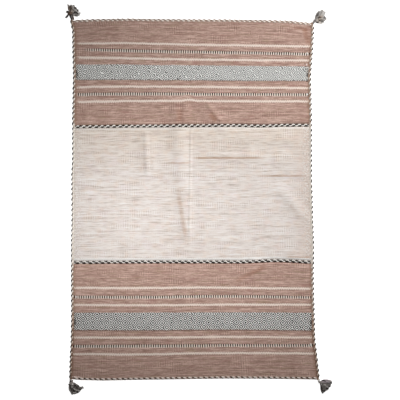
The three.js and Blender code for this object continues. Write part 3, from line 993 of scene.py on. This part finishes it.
def twineLine(share, key):
    x = lerp(-rugForm["halfCloth"], rugForm["halfCloth"], share)
    return clothX(share, lineAt(key, x)), weftY(nominalOf(key), x), 0.0, 1.0


for node, form in edgeCords.items():
    form = {**cords, **form}
    edge = node.split("_")[-1]
    outward = form["outward"]
    cordPiece = twistedPair(node.replace("_cord_", "Cord_"), lambda s: edgeLine(s, edge, outward), form)
    settle(cordPiece, form["flatness"], lambda x, y: 0.0)
    finishPiece(cordPiece, node)
print("edge cords laid")

twineBase = rugForm["thickness"] - cloth["channelDepth"] + rugForm["gap"]
for node, form in twinedRows.items():
    form = {**twine, **form}
    key = form["line"]
    row = twistedPair(node.replace("_row_", "Row_"), lambda s: twineLine(s, key), form)
    settle(row, form["flatness"], lambda x, y: twineBase + creaseLift(x, lineAt(key, x)))
    finishPiece(row, node)
print("twined rows laid")


# The corner tassels

tasselYarn = {
    "radius": 0.00125,
    "steps": 9,
    "perLock": (11, 7, 7, 6),  # strands, by how high the lock lies
    "jitter": 0.12,
    "reach": (0.92, 1.0),
    "spread": (1.7, 1.1, 1.0, 1.0),
    "rootWidth": 0.45,  # where a lock starts
    "thinning": 0.45,  # of a strand towards its tip
    "waver": 0.0012,
    "levelHeight": 0.0042,
    "looseness": 0.0030,
    "neckSteps": 8,
    "fromKnot": 0.016,  # a lock that starts this near comes down from the knot
    "comesDown": (0.05, 0.65),  # over this share of it
}
knotForm = {
    "steps": 12,
    "radius": 0.0030,
    "least": 0.0031,  # height of its middle over the floor
    "tiltBy": 0.004,
    "tallest": 0.008,
    "squat": 0.62,
    "wraps": ((-0.0040, 0.5, 0.0070), (0.0010, -0.5, 0.0082), (0.0050, 0.3, 0.0066)),  # shift, tilt, reach
}
tasselTones = {  # colour, painted shade in the ply furrows that is also the darker random tone, and frayed tips
    "ink": ((60, 50, 45), (24, 19, 17), (92, 86, 82)),
    "bark": ((132, 110, 96), (68, 52, 42), (176, 168, 162)),
    "slate": ((168, 161, 157), (104, 97, 93), (176, 172, 168)),
    "soot": ((164, 156, 151), (94, 87, 83), (168, 163, 158)),
    "ash": ((214, 208, 202), (158, 151, 145), (212, 210, 206)),
    "ecru": ((220, 204, 190), (158, 142, 128), (204, 194, 184)),
    "mauve": ((198, 184, 188), (140, 126, 130), (190, 182, 184)),
}
tasselMaterials = [
    yarnMaterial("tassel" + tone.capitalize(), colour, plyShade, spun["tasselTurns"], frayed=tips)
    for tone, (colour, plyShade, tips) in tasselTones.items()
]
toneNames = list(tasselTones)
# Each tassel's knot, the yarns of its neck with their radius, and its locks with their half width, how high
# they lie and one or more paths. A path is x, y, x, y and so on, all in millimetres from the knot
# Some short ink locks lie on top as dark spots, partly painted shade between the locks and partly dark cut
# ends
tassels = {
    "tassel_top_left": {
        "knot": (-0.609, 0.929, 0.009), "knotTone": "bark", "knotSize": 1.35,
        "neck": [
            ("ink", 3.2, (8, -31, 4, -22, 0, -14, -2, -6)),
            ("slate", 3.2, (13, -31, 11, -23, 7, -15, 5, -6)),
            ("bark", 3.4, (19, -31, 17, -24, 15, -16, 11, -8)),
        ],
        "locks": [
            ("bark", 4.2, 1, (-13, 2, -3, 6, 8, 6)), ("ink", 3, 2, (-12, -6, -2, -9, 9, -8, 18, -10)),
            ("bark", 3.6, 1, (-9, -4, 2, -4, 17, -6)), ("ecru", 3.4, 0, (4, 4, 16, 2, 31, 0)),
            ("ash", 3, 0, (2, 8, 4, 26, 4, 40), (-1, 8, -5, 26, -8, 40), (6, 8, 14, 28, 20, 42)),
            ("ash", 3.6, 0, (12, 10, 27, 20, 36, 26)), ("bark", 3, 1, (-3, 10, -5, 24, -8, 36, -11, 46)),
            ("bark", 2.6, 1, (4, 10, 6, 24, 6, 36, 5, 45)), ("ecru", 2.5, 0, (0, 10, 1, 28, 0, 42)),
            ("ash", 3.5, 0, (7, 10, 13, 24, 17, 36, 20, 44)), ("slate", 3, 0, (9, 10, 19, 24, 27, 34)),
            ("ink", 3.4, 1, (22, 22, 28, 27, 31, 30)), ("ash", 2.5, 2, (14, 26, 24, 17, 36, 10)),
            ("slate", 3.5, 0, (12, 8, 24, 16, 37, 22)), ("ink", 2.5, 1, (34, 12, 39, 15, 41, 20)),
            ("ash", 3.5, 0, (14, 6, 29, 10, 44, 12)), ("ink", 2.6, 2, (17, 0, 25, 4, 33, 4, 42, -6)),
            ("ash", 3.5, 1, (14, 2, 34, 6, 54, 4)),
            ("ash", 3, 1, (19, -2, 36, -2, 55, -1), (14, -4, 34, -8, 51, -8)),
            ("ash", 2.5, 1, (12, -6, 24, -11, 42, -14)), ("ink", 2.2, 1, (24, -10, 33, -13, 40, -12)),
            ("ecru", 2.4, 2, (7, 14, 12, 8, 15, 0)), ("ecru", 2, 2, (11, 22, 8, 14, 7, 6)),
            ("ink", 3.2, 1, (-6, 4, -13, 5, -20, 6)), ("slate", 2.5, 0, (-6, 8, -13, 9, -19, 9)),
            ("ink", 2, 0, (-5, -4, -11, -10, -17, -16, -23, -22)),
        ],
    },
    "tassel_top_right": {
        "knot": (0.614, 0.892, 0.007), "knotTone": "slate", "knotSize": 0.8,
        "neck": [
            ("slate", 3, (-8, -6, -4, -4, 1, -2)),
            ("ecru", 2.6, (-10, -6, -6, -2, 0, 1)),
        ],
        "locks": [
            ("ash", 3.6, 0, (17, 4, 39, 26, 51, 48), (11, 4, 26, 32, 40, 58)),
            ("ecru", 3.4, 0, (8, 0, 23, 8, 44, 18)), ("ash", 3.4, 0, (9, -2, 26, 2, 49, 10)),
            ("ecru", 3.4, 0, (3, -4, 13, -6, 29, -6)), ("slate", 3, 0, (2, 4, 7, 26, 15, 44)),
            ("slate", 3.5, 0, (6, 6, 15, 30, 24, 50)), ("ash", 3.5, 1, (10, 6, 20, 30, 31, 54)),
            ("slate", 2.5, 1, (14, 6, 28, 30, 38, 56)), ("ash", 3.5, 0, (14, 4, 31, 30, 47, 52)),
            ("ash", 3, 0, (16, 4, 35, 20, 49, 38)), ("slate", 1.8, 2, (4, 6, 3, 14, 4, 24)),
            ("slate", 2.5, 2, (17, 24, 20, 30, 22, 36)), ("bark", 2.4, 2, (17, 18, 27, 16, 35, 14)),
            ("ecru", 2.5, 2, (11, 4, 22, 8, 35, 10)), ("ecru", 2.2, 2, (24, 22, 33, 22, 41, 18)),
            ("ash", 3, 1, (31, 10, 43, 8, 56, 4)), ("slate", 3, 0, (21, 2, 41, 12, 60, 8)),
            ("slate", 2.6, 1, (46, 24, 49, 18, 54, 12)), ("ink", 1.8, 2, (19, -2, 23, 0, 27, -2)),
            ("ash", 3.2, 0, (18, -4, 34, -4, 48, -4)), ("slate", 2.4, 1, (33, 2, 42, -1, 50, 0)),
            ("ash", 3, 0, (13, -8, 28, -10, 39, -8)), ("ecru", 2, 2, (12, -4, 17, -7, 23, -10)),
            ("ink", 2.6, 2, (3, -7, 10, -8, 17, -10)), ("ecru", 2.6, 1, (-3, -2, 1, 2, 7, 6)),
        ],
    },
    "tassel_bottom_left": {
        "knot": (-0.605, -0.92, 0.009), "knotTone": "soot", "knotSize": 0.85,
        "neck": [
            ("ink", 3.2, (-3, 18, -4, 9, -3, 2)),
            ("soot", 3.2, (3, 18, 2, 9, 2, 2)),
            ("bark", 2.8, (9, 18, 8, 10, 5, 2)),
        ],
        "locks": [
            ("soot", 3.2, 1, (-7, -6, -8, -21, 0, -38, 12, -55)),
            ("soot", 3.6, 0, (3, -9, 12, -30, 23, -52), (6, -8, 22, -28, 35, -48),
             (8, -6, 30, -26, 46, -41), (10, -4, 33, -16, 55, -29)),
            ("soot", 3.8, 0, (33, -26, 49, -22, 64, -18)), ("soot", 3, 1, (-3, -4, -8, -4, -12, -6)),
            ("ink", 3, 0, (-4, -8, -5, -28, 4, -42)),
            ("soot", 3.2, 0, (-2, -8, -4, -22, 1, -39, 10, -54)),
            ("soot", 3.4, 0, (2, -8, 8, -30, 17, -52)),
            ("soot", 3.2, 0, (5, -8, 15, -32, 28, -51), (7, -8, 23, -30, 39, -46)),
            ("soot", 3.4, 0, (9, -4, 28, -22, 48, -38)), ("soot", 3.2, 0, (9, -2, 31, -14, 53, -29)),
            ("soot", 3.2, 1, (38, -24, 50, -21, 63, -18)),
            ("soot", 3.4, 1, (4, 4, 16, 4, 30, -6, 42, -14)), ("ink", 2.4, 2, (20, -4, 24, -6, 28, -11)),
            ("ink", 2.6, 2, (29, -16, 32, -21, 36, -24)),
            ("ink", 2.4, 2, (13, -26, 15, -32, 18, -36), (31, -38, 36, -42, 40, -41)),
            ("ink", 2.2, 2, (40, -24, 45, -26, 49, -28)), ("ash", 2.2, 2, (4, -11, 6, -14, 9, -19)),
            ("ash", 2.6, 3, (16, -21, 25, -29, 38, -31, 46, -38)),
            ("ash", 2, 2, (10, -38, 16, -46, 23, -44, 29, -39)),
            ("ink", 2, 1, (42, -12, 37, -11, 33, -8)),
        ],
    },
    "tassel_bottom_right": {
        "knot": (0.641, -0.914, 0.008), "knotTone": "soot", "knotSize": 0.75,
        "neck": [
            ("soot", 3.4, (-12, 8, -7, 5, -2, 0)),
            ("ink", 3, (-6, 8, -2, 5, 1, 0)),
        ],
        "locks": [
            ("mauve", 3.6, 0, (3, 6, 19, 9, 41, 8), (7, -2, 34, 2, 58, 5)),
            ("soot", 3.6, 0, (7, -4, 32, -5, 56, -8), (6, -8, 28, -14, 51, -18),
             (5, -10, 24, -20, 44, -30), (3, -10, 20, -28, 33, -40), (2, -10, 14, -34, 22, -45),
             (2, -10, 9, -34, 15, -52)),
            ("mauve", 3, 1, (3, 5, 16, 2, 35, 2, 50, 0)), ("ink", 2.6, 1, (3, 8, 14, 10, 27, 6)),
            ("mauve", 3.2, 0, (9, 2, 34, 6, 57, 9)), ("soot", 3, 0, (9, -2, 34, -2, 58, 0)),
            ("ink", 2, 2, (50, 2, 54, 0, 56, -4)),
            ("soot", 3.4, 0, (6, -4, 32, -10, 54, -12), (6, -8, 27, -18, 47, -24),
             (5, -10, 24, -24, 40, -37), (3, -10, 17, -28, 29, -42)),
            ("soot", 3.2, 0, (2, -10, 12, -34, 20, -45)), ("soot", 3, 0, (1, -10, 6, -34, 12, -54)),
            ("ink", 2.6, 1, (0, -8, 3, -20, 6, -37)), ("ink", 2.6, 2, (42, -14, 47, -18, 50, -20)),
            ("ink", 2.8, 2, (29, -25, 33, -30, 36, -34)), ("ink", 2.6, 2, (16, -38, 20, -42, 23, -44)),
            ("ink", 2.2, 2, (9, -45, 11, -50, 12, -54), (6, -32, 8, -38, 9, -42)),
            ("ash", 2.2, 3, (15, -10, 21, -10, 26, -13)), ("ash", 2, 3, (27, -18, 32, -20, 36, -20)),
            ("ash", 2.4, 1, (43, 8, 50, 6, 57, 2)),
        ],
    },
}


def pathSpot(path, share):  # on a smooth curve through the path's points
    place = share * (len(path) - 1)
    i = min(int(place), len(path) - 2)
    t = place - i
    before, here, there, after = path[max(i - 1, 0)], path[i], path[i + 1], path[min(i + 2, len(path) - 1)]
    bend = before * 2 - here * 5 + there * 4 - after
    turn = here * 3 - before - there * 3 + after
    return (here * 2 + (there - before) * t + bend * t * t + turn * t ** 3) / 2


def laidPath(form, path):
    knotX, knotY = form["knot"][:2]
    return [Vector((knotX + x / 1000, knotY + y / 1000)) for x, y in zip(path[::2], path[1::2])]


def lockStrands(form, tone, half, level, path, pick):
    laid = laidPath(form, path)
    root = Vector(form["knot"])
    fromKnot = (laid[0] - root.xy).length < tasselYarn["fromKnot"]
    count = tasselYarn["perLock"][level]
    half *= tasselYarn["spread"][level]
    strands = []
    for number in range(count):
        side = (number + 0.5) / count * 2 - 1 + pick.uniform(-tasselYarn["jitter"], tasselYarn["jitter"])
        reach = pick.uniform(*tasselYarn["reach"])
        lying = tasselYarn["radius"] * 1.1 + tasselYarn["levelHeight"] * level
        lying += pick.uniform(0.0, tasselYarn["looseness"])
        phase = pick.uniform(0.0, 2 * math.pi)
        points, radii = [], []
        for i in range(tasselYarn["steps"] + 1):
            share = i / tasselYarn["steps"]
            along = share * reach
            spot = pathSpot(laid, along)
            ahead = pathSpot(laid, min(along + 0.05, 1.0)) - pathSpot(laid, max(along - 0.05, 0.0))
            ahead.normalize()
            spread = side * half / 1000 * lerp(tasselYarn["rootWidth"], 1.0, smooth(share, 0.0, 0.5))
            spread += tasselYarn["waver"] * share * math.sin(phase + 5 * share)
            z = lerp(root.z, lying, smooth(share, *tasselYarn["comesDown"])) if fromKnot else lying
            points.append((spot.x - ahead.y * spread, spot.y + ahead.x * spread, z))
            radii.append(tasselYarn["radius"] * (1 - tasselYarn["thinning"] * share ** 3))
        strands.append((points, radii, toneNames.index(tone)))
    return strands


def neckStrands(form):
    steps = tasselYarn["neckSteps"]
    strands = []
    for tone, radius, path in form["neck"]:
        laid = laidPath(form, path)
        radius /= 1000
        points = []
        for i in range(steps + 1):
            spot = pathSpot(laid, i / steps)
            z = lerp(radius * 1.06, form["knot"][2], (i / steps) ** 2)
            points.append((spot.x, spot.y, z))
        strands.append((points, [radius] * len(points), toneNames.index(tone)))
    return strands


def knotStrands(form):
    root = Vector(form["knot"])
    start = laidPath(form, form["neck"][0][2])[0]
    towards = Vector((root.x - start.x, root.y - start.y, 0)).normalized()
    aside = Vector((-towards.y, towards.x, 0))
    up = Vector((0, 0, 1))
    strands = []
    for shift, tilt, wide in knotForm["wraps"]:
        wide *= form["knotSize"]
        points = []
        high = min(wide, knotForm["tallest"]) * knotForm["squat"]
        for i in range(knotForm["steps"] + 1):
            angle = 2 * math.pi * i / knotForm["steps"]
            spot = root + towards * (shift + tilt * knotForm["tiltBy"] * math.cos(angle))
            spot += aside * wide * math.cos(angle) + up * high * math.sin(angle)
            points.append((spot.x, spot.y, max(spot.z, knotForm["least"])))
        strands.append((points, [knotForm["radius"]] * len(points), toneNames.index(form["knotTone"])))
    return strands


for seed, (node, form) in enumerate(tassels.items()):
    pick = random.Random(seed)
    strands = []
    for tone, half, level, *paths in form["locks"]:
        for path in paths:
            strands += lockStrands(form, tone, half, level, path, pick)
    strands += neckStrands(form) + knotStrands(form)
    skirt = strandPiece(node.replace("tassel_", "tassel-"), strands, tasselMaterials, 1)
    finishPiece(skirt, node)
print("tassels tied:", len(tassels))


# Floor, light and camera

studio = {
    "imageMiddle": (0.0075, -0.0025),  # the point of the floor in the middle of the picture
    "frameWidth": 2.0,  # of floor across the picture
    "lens": 80.0,
    "sensor": 36.0,
    "floorHalf": 8.0,
    "floorDrop": 0.0005,
    "floorGlow": 0.90,
    "airLight": 0.0535,
    "airSeen": 1.0,
}
white = (1.0, 1.0, 1.0, 1.0)
softboxes = [  # x, y, height, width, watts, the point that it faces
    (2.20, 1.60, 1.10, 1.0, 62.9, (-0.10, 0.10)),
    (-0.45, -0.10, 0.80, 0.6, 4.1, (-0.45, -0.10)),
    (0.30, -0.35, 0.80, 0.6, 2.33, (0.30, -0.35)),
    (0.05, 0.80, 0.80, 0.6, 1.03, (0.05, 0.80)),
    (0.30, 0.50, 0.80, 0.6, 0.83, (0.30, 0.50)),
]


def buildFloor():
    bm = bmesh.new()
    bmesh.ops.create_grid(bm, x_segments=1, y_segments=1, size=studio["floorHalf"])
    floor = addMeshObject("floor", bm)
    floor.location.z = -studio["floorDrop"]
    material, shader = startMaterial("paleFloor", 0.9, 0.0)[::2]
    shader.inputs["Base Color"].default_value = dye(240, 240, 240)
    shader.inputs["Emission Color"].default_value = white
    shader.inputs["Emission Strength"].default_value = studio["floorGlow"]
    floor.data.materials.append(material)


def buildLights():
    for number, (x, y, height, width, watts, facing) in enumerate(softboxes):
        light = bpy.data.lights.new(f"softbox{number}", "AREA")
        light.shape = "DISK"
        light.size = width
        light.energy = watts
        lamp = addObject(light.name, light)
        lamp.location = (x, y, height)
        aim = Vector((*facing, 0)) - lamp.location
        lamp.rotation_euler = aim.to_track_quat("-Z", "Y").to_euler()
        lamp.visible_camera = False


def buildAir():
    world = bpy.data.worlds.new("studioAir")
    world.use_nodes = True
    background = world.node_tree.nodes["Background"]
    background.inputs["Color"].default_value = white
    path = world.node_tree.nodes.new("ShaderNodeLightPath")  # pale where it is seen, and a weak light
    seen = path.outputs["Is Camera Ray"]
    glow = calc("MULTIPLY_ADD", seen, studio["airSeen"] - studio["airLight"], studio["airLight"])
    feed(background.inputs["Strength"], glow)
    bpy.context.scene.world = world


def buildCamera():
    lens = bpy.data.cameras.new("photoView")
    lens.lens = studio["lens"]
    lens.sensor_width = studio["sensor"]
    camera = addObject("photoView", lens)
    camera.location = (*studio["imageMiddle"], studio["frameWidth"] * studio["lens"] / studio["sensor"])
    bpy.context.scene.camera = camera


buildFloor()
buildLights()
buildAir()
buildCamera()
bpy.context.scene.view_settings.view_transform = "Standard"
print("studio set")
